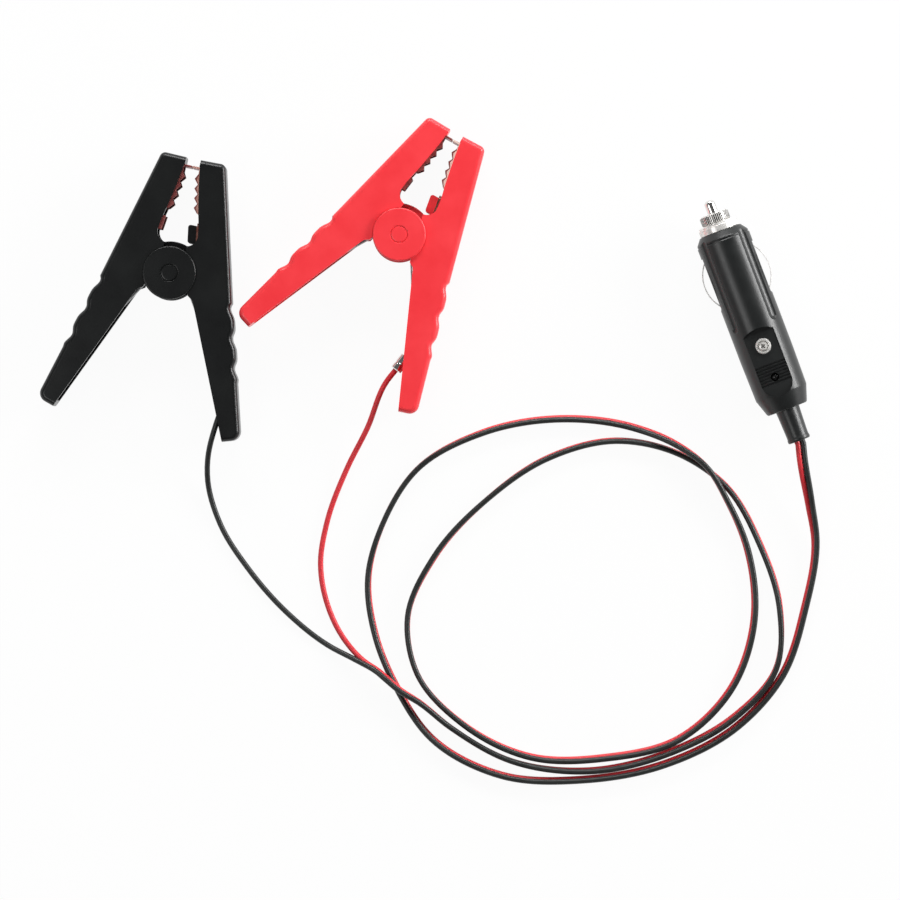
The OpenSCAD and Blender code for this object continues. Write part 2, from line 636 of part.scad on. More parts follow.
at_clamp(black_at, black_turn) wire_lever(plastic_black);  // black_wire_lever
at_clamp(black_at, black_turn) free_lever(plastic_black);  // black_free_lever
at_clamp(black_at, black_turn) jaw(true);  // black_wire_jaw
at_clamp(black_at, black_turn) mirror([1, 0, 0]) jaw(false);  // black_free_jaw
at_clamp(black_at, black_turn) pivot_post(plastic_black);  // black_pivot_post
at_clamp(black_at, black_turn) pivot_cap(plastic_black);  // black_pivot_cap
at_clamp(black_at, black_turn) clamp_spring();  // black_spring
at_clamp(black_at, black_turn) terminal(black_crimp, black_wire_dir);  // black_terminal
at_clamp(red_at, red_turn) wire_lever(plastic_red);  // red_wire_lever
at_clamp(red_at, red_turn) free_lever(plastic_red);  // red_free_lever
at_clamp(red_at, red_turn) jaw(true);  // red_wire_jaw
at_clamp(red_at, red_turn) mirror([1, 0, 0]) jaw(false);  // red_free_jaw
at_clamp(red_at, red_turn) pivot_post(plastic_red);  // red_pivot_post
at_clamp(red_at, red_turn) pivot_cap(plastic_red);  // red_pivot_cap
at_clamp(red_at, red_turn) clamp_spring();  // red_spring
at_clamp(red_at, red_turn) terminal(red_crimp, red_wire_dir);  // red_terminal
at_plug() upper_shell();
at_plug() lower_shell();
at_plug() panel_screw();
at_plug() indicator_lamp();
at_plug() lamp_resistor();
at_plug() centre_contact();
at_plug() screw_cap();
at_plug() front_ring();
at_plug() fuse_glass();
at_plug() fuse_caps();
at_plug() fuse_spring();
at_plug() spring_terminal();
at_plug() side_contact(1);  // left_contact
at_plug() side_contact(-1);  // right_contact
at_plug() strain_relief();
at_plug() plug_red_wire();
at_plug() plug_black_wire();
twin_lead();
red_tail();
black_tail();
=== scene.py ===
import math

import bmesh
import bpy
from mathutils import Matrix, Vector


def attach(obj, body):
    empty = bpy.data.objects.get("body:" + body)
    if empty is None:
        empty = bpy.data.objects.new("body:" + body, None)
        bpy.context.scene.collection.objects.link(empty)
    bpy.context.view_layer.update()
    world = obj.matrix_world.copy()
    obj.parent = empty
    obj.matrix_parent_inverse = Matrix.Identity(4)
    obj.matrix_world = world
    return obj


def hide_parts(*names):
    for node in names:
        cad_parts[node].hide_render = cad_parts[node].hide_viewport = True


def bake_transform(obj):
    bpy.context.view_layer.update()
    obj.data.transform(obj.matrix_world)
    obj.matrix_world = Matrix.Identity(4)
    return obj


# Shapes are worked out in millimetres in each piece's own frame and scaled to metres as they are placed.
# A clamp's own frame has its pivot at the origin and its jaws along +Y. The plug's own frame has its tip
# at the origin, its axis along +Z and its panel side along +X.

MM = 0.001
CUT, JOIN, KEEP = "DIFFERENCE", "UNION", "INTERSECT"
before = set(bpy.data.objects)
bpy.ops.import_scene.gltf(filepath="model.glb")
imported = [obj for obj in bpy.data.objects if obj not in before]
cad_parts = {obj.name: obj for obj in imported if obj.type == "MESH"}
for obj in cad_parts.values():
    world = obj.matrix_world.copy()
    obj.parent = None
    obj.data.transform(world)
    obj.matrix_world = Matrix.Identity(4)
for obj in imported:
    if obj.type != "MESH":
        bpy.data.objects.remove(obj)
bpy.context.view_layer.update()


# ---------- camera, light, floor ----------

VIEW_CENTRE = (0.0092, -0.06341)
VIEW_HEIGHT = 2.2
CLAMP_MID = 0.01             # half a clamp's height
VIEW_WIDTH = 0.3393          # what the frame takes in at that height
SENSOR = 36

camera_data = bpy.data.cameras.new("camera")
camera_data.type = "PERSP"
camera_data.sensor_width = SENSOR
camera_data.lens = SENSOR * (VIEW_HEIGHT - CLAMP_MID) / VIEW_WIDTH
camera_data.clip_end = 20
camera = bpy.data.objects.new("camera", camera_data)
camera.location = (*VIEW_CENTRE, VIEW_HEIGHT)
bpy.context.scene.collection.objects.link(camera)
bpy.context.scene.camera = camera
bpy.context.scene.view_settings.view_transform = "Standard"


def linear(hex_colour):
    """An sRGB hex colour as linear RGBA."""
    parts = [int(hex_colour[i:i + 2], 16) / 255 for i in (1, 3, 5)]
    return (*[p / 12.92 if p <= 0.04045 else ((p + 0.055) / 1.055) ** 2.4 for p in parts], 1)


def add(tree, kind, settings=None, links=None):
    """Adds a shader node. A setting is an attribute or a socket, by name or number. A link goes to a
    socket."""
    made = tree.nodes.new(kind)
    for key, value in (settings or {}).items():
        if isinstance(key, str) and hasattr(made, key):
            setattr(made, key, value)
        else:
            made.inputs[key].default_value = value
    for key, source in (links or {}).items():
        tree.links.new(source, made.inputs[key])
    return made


def softbox(name, at, size, watts):
    """A white lamp of a width and height, turned to the object."""
    data = bpy.data.lights.new(name, "AREA")
    data.shape = "RECTANGLE"
    data.size, data.size_y = size
    data.energy = watts
    lamp = bpy.data.objects.new(name, data)
    lamp.location = at
    aim = Vector((*VIEW_CENTRE, 0)) - Vector(at)
    lamp.rotation_euler = aim.to_track_quat("-Z", "Y").to_euler()
    bpy.context.scene.collection.objects.link(lamp)


softbox("right softbox", (1.3, 0.42, 0.52), (0.9, 0.5), 20)
softbox("left softbox", (-0.66, -0.3, 1.24), (0.6, 0.5), 3.5)
softbox("back softbox", (0.0, 1.3, 0.8), (1.4, 0.34), 19)

# The studio: white walls low down, a darker ceiling, so flat tops keep their own colour.
world = bpy.data.worlds.new("studio")
world.use_nodes = True
tree = world.node_tree
tree.nodes.clear()
where = add(tree, "ShaderNodeTexCoord")
height = add(tree, "ShaderNodeSeparateXYZ", links={0: where.outputs["Generated"]})
fade = add(tree, "ShaderNodeMapRange", {"interpolation_type": "SMOOTHSTEP",
    "From Min": 0.1, "From Max": 0.56, "To Min": 0.95, "To Max": 0.1}, {"Value": height.outputs["Z"]})
glow = add(tree, "ShaderNodeBackground", {"Color": linear("#ffffff")}, {"Strength": fade.outputs[0]})
add(tree, "ShaderNodeOutputWorld", links={"Surface": glow.outputs[0]})
bpy.context.scene.world = world


def new_material(name):
    made = bpy.data.materials.new(name)
    made.use_nodes = True
    made.node_tree.nodes.clear()
    return made, made.node_tree


def floor_paper():
    """White background paper: seen, mirrored or seen through it is nearly blown out, with a faint shadow."""
    glow_share = 0.95
    made, tree = new_material("background paper")
    path = add(tree, "ShaderNodeLightPath")
    seen = add(tree, "ShaderNodeMath", {"operation": "MAXIMUM"}, {0: path.outputs["Is Camera Ray"],
        1: path.outputs["Is Glossy Ray"]})
    seen = add(tree, "ShaderNodeMath", {"operation": "MAXIMUM"}, {0: seen.outputs[0],
        1: path.outputs["Is Transmission Ray"]})
    share = add(tree, "ShaderNodeMath", {"operation": "MULTIPLY", 1: glow_share}, {0: seen.outputs[0]})
    fibre = add(tree, "ShaderNodeTexNoise", {"Scale": 900.0, "Detail": 2.0})
    tone = add(tree, "ShaderNodeMix", {"data_type": "RGBA", 6: linear("#f2f2f1"), 7: linear("#f6f6f5")},
        {0: fibre.outputs["Fac"]})
    paper = add(tree, "ShaderNodeBsdfDiffuse", links={"Color": tone.outputs[2]})
    glow = add(tree, "ShaderNodeEmission", {"Color": linear("#ffffff"), "Strength": 1.0})
    both = add(tree, "ShaderNodeMixShader",
        links={0: share.outputs[0], 1: paper.outputs[0], 2: glow.outputs[0]})
    add(tree, "ShaderNodeOutputMaterial", links={"Surface": both.outputs[0]})
    return made


def mesh_object(name, bm, material=None, sharp=35, weigh=False):
    """A mesh object from a bmesh, smooth except over edges sharper than an angle."""
    mesh = bpy.data.meshes.new(name)
    bm.to_mesh(mesh)
    bm.free()
    made = bpy.data.objects.new(name, mesh)
    bpy.context.scene.collection.objects.link(made)
    if material:
        mesh.materials.append(material)
    for face in mesh.polygons:
        face.use_smooth = True
    mesh.set_sharp_from_angle(angle=math.radians(sharp))
    if weigh:
        # Large faces keep their own normals, so flats look flat beside rounded edges.
        even = made.modifiers.new("even", "WEIGHTED_NORMAL")
        even.keep_sharp = True
        depsgraph = bpy.context.evaluated_depsgraph_get()
        made.data = bpy.data.meshes.new_from_object(made.evaluated_get(depsgraph))
        made.modifiers.clear()
        bpy.data.meshes.remove(mesh)
    return made


bm = bmesh.new()
bmesh.ops.create_grid(bm, x_segments=8, y_segments=8, size=4)
floor = mesh_object("floor", bm, floor_paper())


# ---------- finishes ----------

def surface(name, tones, rough, cloud_mm, grain_mm, grain_deep, metallic=0.0, stretch=(1, 1, 1), **fixed):
    """A finish with cloudy colour between two tones, a grain in the gloss and a fine grain in the relief."""
    made, tree = new_material(name)
    where = add(tree, "ShaderNodeTexCoord").outputs["Object"]
    cloud = add(tree, "ShaderNodeTexNoise", {"Scale": 1 / (cloud_mm * MM), "Detail": 4.0, "Roughness": 0.6},
        {"Vector": where})
    drawn = add(tree, "ShaderNodeMapping", {"Scale": stretch}, {"Vector": where})
    grain = add(tree, "ShaderNodeTexNoise", {"Scale": 1 / (grain_mm * MM), "Detail": 3.0},
        {"Vector": drawn.outputs[0]})
    spread = add(tree, "ShaderNodeMapRange", {"From Min": 0.3, "From Max": 0.7},
        {"Value": cloud.outputs["Fac"]})
    colour = add(tree, "ShaderNodeMix", {"data_type": "RGBA", 6: linear(tones[0]), 7: linear(tones[1])},
        {0: spread.outputs[0]})
    both = add(tree, "ShaderNodeMath", {"operation": "ADD"},
        {0: cloud.outputs["Fac"], 1: grain.outputs["Fac"]})
    gloss = add(tree, "ShaderNodeMapRange", {"From Min": 0.6, "From Max": 1.4, "To Min": rough[0],
        "To Max": rough[1]}, {"Value": both.outputs[0]})
    relief = add(tree, "ShaderNodeBump", {"Strength": 1.0, "Distance": grain_deep * MM},
        {"Height": grain.outputs["Fac"]})
    shader = add(tree, "ShaderNodeBsdfPrincipled", {"Metallic": metallic, **fixed},
        {"Base Color": colour.outputs[2], "Roughness": gloss.outputs[0], "Normal": relief.outputs[0]})
    add(tree, "ShaderNodeOutputMaterial", links={"Surface": shader.outputs[0]})
    return made


# Injection-moulded ABS with a fine spark-eroded grain: soft broad highlights.
red_abs = surface("moulded red ABS", ("#f4343c", "#fc4047"), (0.28, 0.38), 14, 0.45, 0.006,
    **{"IOR": 1.5, "Specular IOR Level": 0.55})
black_abs = surface("moulded black ABS", ("#0c0d0e", "#111313"), (0.26, 0.36), 14, 0.45, 0.007,
    **{"IOR": 1.5, "Specular IOR Level": 0.42})
# The plug's ABS has a shallower grain, so its barrel shows the lamps as long bands.
plug_abs = surface("satin black ABS", ("#151717", "#1c1e1e"), (0.3, 0.4), 10, 0.6, 0.004,
    **{"IOR": 1.5, "Specular IOR Level": 0.55})
# The boot is moulded in soft PVC, with hardly any grain and a satin sheen.
boot_pvc = surface("satin moulded PVC", ("#151717", "#1b1d1d"), (0.34, 0.4), 8, 0.8, 0.001,
    **{"IOR": 1.52, "Specular IOR Level": 0.6})
# Copper plate over pressed steel, salmon. The maroon copy is painted shade, the cream copy a painted
# highlight.
clean_copper = surface("clean copper plate", ("#d89787", "#f0bcae"), (0.3, 0.46), 2.5, 0.4, 0.01, 0.4,
    stretch=(1, 1, 0.2))
copper_painted_highlight = surface("copper plate with painted highlight", ("#f2dcc8", "#fff6ea"), (0.3, 0.46), 2.5, 0.4, 0.01, 0.1,
    stretch=(1, 1, 0.2))
copper_painted_shade = surface("copper plate with painted shade", ("#8b4142", "#b4655f"), (0.3, 0.48), 2.5, 0.4, 0.01, 0.45,
    stretch=(1, 1, 0.2))
# The rolled tab was burnished by its die.
rolled_copper = surface("burnished copper plate", ("#cf8474", "#e6a596"), (0.14, 0.26), 1.2, 0.4, 0.012, 1.0)
# Nickel plate over brass or steel: bright, with faint turning marks.
bright_nickel = surface("nickel plate", ("#dddbd8", "#f0eeeb"), (0.1, 0.2), 4, 0.4, 0.002, 1.0,
    stretch=(1, 1, 0.3))
# The side contacts are spring brass under nickel, painted near-white and mostly matt: a painted reflection
# over the nickel's pale tone.
leaf_nickel_painted_reflection = surface("satin nickel plate with painted reflection", ("#f4f2ef", "#fdfbf8"), (0.3, 0.44), 4, 0.4, 0.002, 0.25,
    stretch=(1, 1, 0.3))
# The ring, the knurled cap and the screw keep the lathe's fine marks, which spread the lamps' reflections.
turned_nickel = surface("turned nickel plate", ("#e0deda", "#f1efec"), (0.22, 0.32), 3, 0.35, 0.004, 0.45)
# The knurl's roots are painted dark: painted shade, with some grime.
knurl_painted_shade = surface("nickel plate with painted shade in the knurl's roots", ("#6b6967", "#888683"), (0.4, 0.5), 2, 0.3, 0.004,
    0.6)
# Hard-drawn spring wire.
spring_wire = surface("drawn spring steel", ("#a3a4a5", "#bcbdbe"), (0.22, 0.36), 3, 0.35, 0.003, 1.0)
# Soft PVC insulation, smooth from the extruder, with a slight bloom.
black_pvc = surface("black PVC insulation", ("#1d1f1e", "#272a29"), (0.34, 0.48), 9, 0.8, 0.006,
    **{"IOR": 1.52, "Specular IOR Level": 0.45})
red_pvc = surface("red PVC insulation", ("#cf2c35", "#dd3840"), (0.34, 0.48), 9, 0.8, 0.006,
    **{"IOR": 1.52, "Specular IOR Level": 0.4})
# Bare brass strip.
brass = surface("rolled brass", ("#b08d4a", "#c4a25c"), (0.25, 0.4), 4, 0.5, 0.004, 1.0)
# Baked enamel on the resistor.
resistor_coat = surface("resistor enamel", ("#c9b182", "#d6c095"), (0.4, 0.5), 2, 0.3, 0.003)
# Dark clear epoxy, polished by its mould.
lamp_epoxy = surface("smoked lamp epoxy", ("#101010", "#1c1c1c"), (0.08, 0.14), 2, 0.5, 0.001,
    **{"IOR": 1.52})
# Drawn glass tube.
fuse_tube = surface("fuse glass", ("#eef6f4", "#f6fbfa"), (0.02, 0.05), 5, 2, 0.001,
    **{"IOR": 1.5, "Transmission Weight": 0.95})


# ---------- lead ----------

CORE_R = 1.05
PLUG_AT = Vector((106.56, 30.6, 10.35))
PLUG_TURN = 69.2
PLUG_DIR = Vector((math.cos(math.radians(PLUG_TURN)), -math.sin(math.radians(PLUG_TURN)), 0))
PLUG_ROLL = 4
PLUG_L = 96.8
CLAMPS = {
    "black": {"at": Vector((-96.2, 3.12, 10.3)), "turn": 12, "crimp": (29.8, -43), "wire": (0.13, 0.9915)},
    "red": {"at": Vector((-9.9, 17.52, 10.3)), "turn": 29.5, "crimp": (24.3, -41.7), "wire": (0.16, 0.9871)},
}
CRIMP_L = 6.4
CONDUCTOR_R = 0.7            # inside the plug

plug_exit = PLUG_AT + PLUG_L * PLUG_DIR
lean = Vector((PLUG_DIR.y, -PLUG_DIR.x, 0))
# x, y, height, and how far in degrees the red core is turned under the black one.
twin_route = [(*(PLUG_AT + (PLUG_L - 3) * PLUG_DIR), 0), (*plug_exit, 0), (*(plug_exit + 1.4 * PLUG_DIR), 0),
    (*(plug_exit + 5 * PLUG_DIR + lean), 0),
    (145.2, -83.7, 6, 40), (147.4, -97.5, 3.2, 60), (143.4, -123.4, 2.1, 65), (134.9, -148.6, 2.1, 65),
    (117.9, -167.9, 2.1, 62), (90.3, -182.3, 2.1, 62), (59.6, -188.1, 2.1, 66), (28.4, -186.4, 2.2, 70),
    (2.3, -172.5, 2.2, 72), (-11.1, -152.9, 2.2, 72), (-19, -133.5, 2.2, 75), (-21.7, -111.4, 2.2, 80),
    (-16, -90.8, 2.2, 90), (-3.2, -70.7, 2.2, 92), (21.4, -56.9, 2.2, 105), (51.5, -51.6, 2.2, 112),
    (78.7, -54.9, 2.6, 115), (94.6, -61.3, 5.3, 108), (105.7, -69.4, 6.6, 92), (114.3, -83.2, 4.8, 86),
    (121.8, -101.3, 2.2, 76), (124.2, -128, 2.2, 72), (115.9, -153.2, 2.2, 68), (95.8, -172.8, 2.1, 65),
    (67.6, -179.9, 2.1, 66), (40, -179.6, 2.2, 72), (14.3, -167.3, 2.2, 84), (-3.2, -148.2, 2.2, 90),
    (-6.8, -126.5, 2.2, 87), (3.3, -103.8, 2.2, 80), (23.6, -81.8, 2.2, 90), (45.5, -66.8, 2.2, 100),
    (72.1, -59.9, 2.2, 102), (95.8, -64.9, 2.2, 98), (113.4, -76.9, 2.2, 100), (126.5, -99.1, 2.2, 104),
    (134, -123.4, 2.2, 102), (132.4, -146.6, 2.2, 85), (116.9, -164.4, 2.1, 66), (92.8, -177.6, 2.1, 66),
    (61.6, -184.8, 2.2, 74), (32.4, -181.1, 2.2, 88), (9.3, -168.3, 2.9, 90), (-2.7, -158.6, 5.6, 84),
    (-9.6, -154.3, 6.6, 76), (-15.5, -149.3, 6.2, 72)]
tail_routes = {
    "red": [(-23.4, -143.2, 3.4), (-31.6, -133.9, 1.2), (-37, -122.5, 1.1), (-39.8, -106.4, 1.1),
        (-37.5, -91.3, 1.1), (-29.9, -70.7, 2.2), (-22, -55.1, 6)],
    "black": [(-26.4, -142.8, 4), (-37, -137.3, 1.2), (-53, -124.5, 1.1), (-67.1, -108.4, 1.1),
        (-77.6, -91.8, 1.1), (-82.4, -75.2, 3.2), (-82.3, -67.1, 6.4)],
}


def smooth_route(route, step=2.5):
    """A smooth curve through unevenly spaced points, each with any values after x, y and height."""
    points = [Vector(p) if len(p) < 5 else p for p in route]
    far = [(points[i + 1].xyz - points[i].xyz).length for i in range(len(points) - 1)]
    slopes = [(points[1] - points[0]) / far[0]]
    for i in range(1, len(points) - 1):
        before, after = (points[i] - points[i - 1]) / far[i - 1], (points[i + 1] - points[i]) / far[i]
        slopes.append((before * far[i] + after * far[i - 1]) / (far[i - 1] + far[i]))
    slopes.append((points[-1] - points[-2]) / far[-1])
    line = []
    for i, h in enumerate(far):
        parts = max(1, round(h / step))
        for k in range(parts):
            t = k / parts
            line.append((2 * t ** 3 - 3 * t * t + 1) * points[i] + (t ** 3 - 2 * t * t + t) * h * slopes[i]
                + (3 * t * t - 2 * t ** 3) * points[i + 1] + (t ** 3 - t * t) * h * slopes[i + 1])
    return line + [points[-1]]


twin_line = smooth_route(twin_route)
across = []                  # from the lead's middle to the black core, at each point
for i, p in enumerate(twin_line):
    ahead = (twin_line[min(i + 1, len(twin_line) - 1)] - twin_line[max(i - 1, 0)]).xyz.normalized()
    side = Vector((0, 0, 1)).cross(ahead).normalized()
    turn = math.radians(p[3])
    across.append(math.cos(turn) * side + math.sin(turn) * ahead.cross(side))
split_dir = (twin_line[-1] - twin_line[-2]).xyz.normalized()


def in_clamp(clamp, x, y, z=0):
    """A point of a clamp's own frame in the layout's frame, in millimetres."""
    return clamp["at"] + Matrix.Rotation(-math.radians(clamp["turn"]), 3, "Z") @ Vector((x, y, z))


def core_line(colour, side):
    """One core's centre line from the plug to its crimp."""
    clamp = CLAMPS[colour]
    twin = [p.xyz + side * CORE_R * a for p, a in zip(twin_line, across)]
    ends = [in_clamp(clamp, clamp["crimp"][0] - clamp["wire"][0] * (CRIMP_L / 2 + d),
        clamp["crimp"][1] - clamp["wire"][1] * (CRIMP_L / 2 + d)) for d in (5, 0, -3)]
    tail = smooth_route([twin[-1], twin[-1] + 3 * split_dir, *tail_routes[colour], *ends])
    return [Vector((p.x, p.y, max(p.z, CORE_R))) for p in twin + tail[1:]]


def wire_curve(name, line, radius, material, sides=4):
    """A round wire along a line of points."""
    data = bpy.data.curves.new(name, "CURVE")
    data.dimensions = "3D"
    data.bevel_depth = radius * MM
    data.bevel_resolution = sides
    data.use_fill_caps = True
    spline = data.splines.new("POLY")
    spline.points.add(len(line) - 1)
    for point, p in zip(spline.points, line):
        point.co = (*(p * MM), 1)
    spline.use_smooth = True
    made = bpy.data.objects.new(name, data)
    data.materials.append(material)
    bpy.context.scene.collection.objects.link(made)
    return made


def length_of(line):
    """A line's length."""
    return sum((b - a).length for a, b in zip(line, line[1:]))


for colour, side, material, solids, slot in (
        ("red", -1, red_pvc, ["red_tail"], "red_insulation"),
        ("black", 1, black_pvc, ["black_tail", "twin_lead"], "black_insulation")):
    line = core_line(colour, side)
    core = wire_curve(f"{colour}_core", line, CORE_R, material)
    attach(core, "lead")
    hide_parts(*solids)
    print(colour, "core", round(length_of(line)), "mm")

print("twin", round(length_of([p.xyz for p in twin_line])), "mm")


# ---------- shapes ----------

MIRROR = Matrix.Scale(-1, 4, (1, 0, 0))
FLIP_Y = Matrix.Scale(-1, 4, (0, 1, 0))
LIE_X = Matrix.Rotation(math.pi / 2, 4, "Y")
# Turns a flat shape drawn as (along the plug, sideways) into the plug's own frame.
SIDE_ON = Matrix.Rotation(-math.pi / 2, 4, "Y")


def arc(centre, radius, start, end, steps):
    """Points on an arc between two angles in degrees."""
    angles = [math.radians(start + (end - start) * i / steps) for i in range(steps + 1)]
    return [(centre[0] + radius * math.cos(a), centre[1] + radius * math.sin(a)) for a in angles]


def prism(points, low, high):
    """A straight prism over a flat outline."""
    bm = bmesh.new()
    face = bm.faces.new([bm.verts.new((*p, low)) for p in points])
    raised = bmesh.ops.extrude_face_region(bm, geom=[face])["geom"]
    upper = [g for g in raised if isinstance(g, bmesh.types.BMVert)]
    bmesh.ops.translate(bm, vec=(0, 0, high - low), verts=upper)
    bmesh.ops.recalc_face_normals(bm, faces=bm.faces)
    return bm


def lathe(profile, steps=96):
    """A turned shape from a profile of radius and height, closed on the axis."""
    bm = bmesh.new()
    verts = [bm.verts.new((r, 0, z)) for r, z in profile]
    edges = [bm.edges.new(pair) for pair in zip(verts, verts[1:])]
    bmesh.ops.spin(bm, geom=verts + edges, axis=(0, 0, 1), cent=(0, 0, 0), angle=2 * math.pi, steps=steps,
        use_merge=True)
    bmesh.ops.remove_doubles(bm, verts=bm.verts, dist=0.0005)
    bmesh.ops.recalc_face_normals(bm, faces=bm.faces)
    return bm


def soften(bm, width, segments=2, angle=30, keep=None):
    """Rounds every edge sharper than an angle, or those that keep picks."""
    edges = [e for e in bm.edges if len(e.link_faces) == 2
        and e.calc_face_angle(0) > math.radians(angle) and (keep is None or keep(e))]
    bmesh.ops.bevel(bm, geom=edges, offset=width, offset_type="OFFSET", segments=segments, profile=0.5,
        affect="EDGES", clamp_overlap=True, material=-1)
    return bm


def turned(bm, matrix):
    """A bmesh moved, turned or mirrored, with its faces still outwards."""
    bmesh.ops.transform(bm, matrix=matrix, verts=bm.verts)
    if matrix.to_3x3().determinant() < 0:
        bmesh.ops.reverse_faces(bm, faces=bm.faces)
    return bm


def moved(bm, x, y, z):
    return turned(bm, Matrix.Translation((x, y, z)))


def combine(body, *steps):
    """Applies booleans to a bmesh, one after another: pairs of operation and bmesh."""
    base = mesh_object("work", body)
    tools = []
    for operation, tool in steps:
        made = mesh_object("tool", tool)
        cut = base.modifiers.new("cut", "BOOLEAN")
        cut.operation, cut.object, cut.solver = operation, made, "EXACT"
        made.hide_render = True
        tools.append(made)
    bpy.context.view_layer.update()
    result = bmesh.new()
    result.from_object(base, bpy.context.evaluated_depsgraph_get())
    for made in [base, *tools]:
        bpy.data.objects.remove(made)
    bmesh.ops.remove_doubles(result, verts=result.verts, dist=0.001)
    return result


def on_edge(face):
    """Faces across a sheet's thickness, where it was sheared; on the jaws they take the painted shade."""
    return abs(face.normal.z) < 0.7


def in_knurl(face):
    """The roots of the screw cap's knurl, which take the painted shade."""
    middle = face.calc_center_median()
    return 5.1 < middle.xy.length < 5.5 and 5.7 < middle.z < 8.6


def place(name, bm, matrix, material, body, replaced, sharp=35, second=on_edge):
    """Puts a shape in millimetres where it belongs, ties it to its body and hides the CAD nodes it stands in
    for.
    A second finish is for the faces that second picks."""
    finishes = material if isinstance(material, tuple) else (material,)
    for face in bm.faces:
        face.material_index = int(len(finishes) > 1 and second(face))
    turned(bm, matrix @ Matrix.Scale(MM, 4))
    made = mesh_object(name, bm, sharp=sharp, weigh=True)
    for finish in finishes:
        made.data.materials.append(finish)
    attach(made, body)
    if replaced:
        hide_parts(*replaced)
    return made


def placing(at, *turns):
    """The matrix that turns a piece about its own axes and moves it to a point in millimetres."""
    matrix = Matrix.Translation(at * MM)
    for degrees, axis in turns:
        matrix = matrix @ Matrix.Rotation(math.radians(degrees), 4, axis)
    return matrix


# ---------- clamp levers ----------

HALF_T = 9
WALL = 2
INNER = HALF_T - WALL
EAR_R = 9.8
EAR_CLEAR_R = 10.15
EAR_T = 1
EAR_PLAY = 0.1
SHAFT_R = 3.1
SHAFT_PLAY = 0.06
DISC_R = 10
DISC_T = 1.2
DISC_ROUND = 0.5             # the discs' rounded rim
QUARTER = (0.39, 0.79, 1.18) # angles that round a rim
EDGE_R = 2
SEAT_LOW = 3.5               # the spring seats stand this far from the clamp's mid-plane
NOSE_TOP = 2
GUARD_TOP = 1
GUARD_OUT, GUARD_IN = 12.1, 9.95

# The grip's edge runs from one point to another, with finger hollows a pitch apart.
GRIP_START, GRIP_END = (25.3, -6.3), (33.45, -35.4)
GRIP_STEPS, GRIP_STEP = 55, 0.49
HOLLOW_AT, HOLLOW_PITCH, HOLLOW_DEEP, SWELL = -8.4, 10.9, 1.25, 0.35
grip_slope = (GRIP_END[0] - GRIP_START[0]) / (GRIP_START[1] - GRIP_END[1])
grip = []
for i in range(1, GRIP_STEPS + 1):
    y = GRIP_START[1] - 0.6 - i * GRIP_STEP
    wave = SWELL - HOLLOW_DEEP * math.cos(math.pi * (y - HOLLOW_AT) / HOLLOW_PITCH) ** 4
    grip.append((GRIP_START[0] + grip_slope * (GRIP_START[1] - y) + wave, y))
outer_edge = [(2.8, 43.9), *arc((10.5, 41.9), 2.2, 88, 14.4, 10), GRIP_START, *grip, GRIP_END,
    *arc((34.7, -53.5), 3.6, 15.6, -75.6, 12), (32.4, -58)]
inner_edge = [*arc((9.07, -9.73), 2, 24, 67, 6), (8.6, -7.1), *arc((3.4, 15.3), 4.3, -82, 0, 14),
    (7.2, 19), (5.8, 25), (3.9, 35), (3, 41.3), (2.8, 41.3)]
channel = [(-3, 41.3), (11.2, 41.3), (23.4, -6.8), (31.5, -35), (35.5, -51.5), (33.6, -55), (24, -57.6),
    (-3, -30)]
spring_seat = [(17.3, -17.4), (20.6, -22.6), (29, -22.6), (27.6, -17.4)]
web = [(9.5, 13.2), (9.5, 19.2), (17.1, 19.2), (18.6, 13.2)]
nose = [*arc((4.8, 13.6), 1, 270, 180, 4), *arc((4, 18.5), 1, 180, 90, 4), (9.6, 19.5), (9.6, 12.6)]


def lever_blank():
    """The moulded half before its ears are cut: a U-section with rounded outer edges."""
    bm = prism(outer_edge + inner_edge, -HALF_T, HALF_T)
    rim = {(round(x, 3), round(y, 3)) for x, y in outer_edge}

    def on_rim(edge):
        flat = abs(edge.verts[0].co.z - edge.verts[1].co.z) < 0.001
        return flat and all((round(v.co.x, 3), round(v.co.y, 3)) in rim for v in edge.verts)
    soften(bm, EDGE_R, 6, 30, on_rim)
    return bm


def disc(radius, low, high, steps=96):
    """A plain disc or pin between two heights."""
    return lathe([(0, low), (radius, low), (radius, high), (0, high)], steps)


def lever(outer_ears):
    """One half: the wire lever has the outer ears and the lug, the free lever the inner ears."""
    steps = [(JOIN, disc(EAR_R, -HALF_T, HALF_T)), (CUT, prism(channel, -INNER, INNER)),
        (CUT, disc(EAR_CLEAR_R, -INNER, INNER))]
    steps += [(JOIN, prism(spring_seat, *sorted((SEAT_LOW * s, (INNER + 0.1) * s)))) for s in (-1, 1)]
    if outer_ears:
        strip_slot = prism([(14, 10), (17.2, 10), (17.2, 22), (14, 22)], -3, 3)
        lug = combine(prism(web, -INNER - 0.05, INNER + 0.05), (JOIN, prism(nose, -INNER + 1, NOSE_TOP)),
            (CUT, strip_slot))
        steps += [(CUT, disc(EAR_CLEAR_R, -HALF_T + EAR_T, HALF_T - EAR_T)),
            (CUT, disc(SHAFT_R, -HALF_T - 1, HALF_T + 1)), (JOIN, lug)]
    else:
        steps += [(CUT, disc(EAR_CLEAR_R, s * 7.95, s * 10.05)) for s in (-1, 1)]
        steps += [(CUT, disc(SHAFT_R + SHAFT_PLAY, -HALF_T - 1, HALF_T + 1))]
    return combine(lever_blank(), *steps)


def guard():
    """The curved wall over the spring, in the mouth."""
    wall = prism([*arc((0, 0), GUARD_OUT, 50, 114, 24), *arc((0, 0), GUARD_IN, 114, 50, 24)],
        -INNER + 0.2, GUARD_TOP)
    root = prism([*arc((0, 0), 12, 50, 66, 8), *arc((0, 0), 10.4, 66, 50, 8)], -INNER - 0.05, -INNER + 1)
    return combine(soften(wall, 0.3, 3), (JOIN, root))


# ---------- jaws ----------

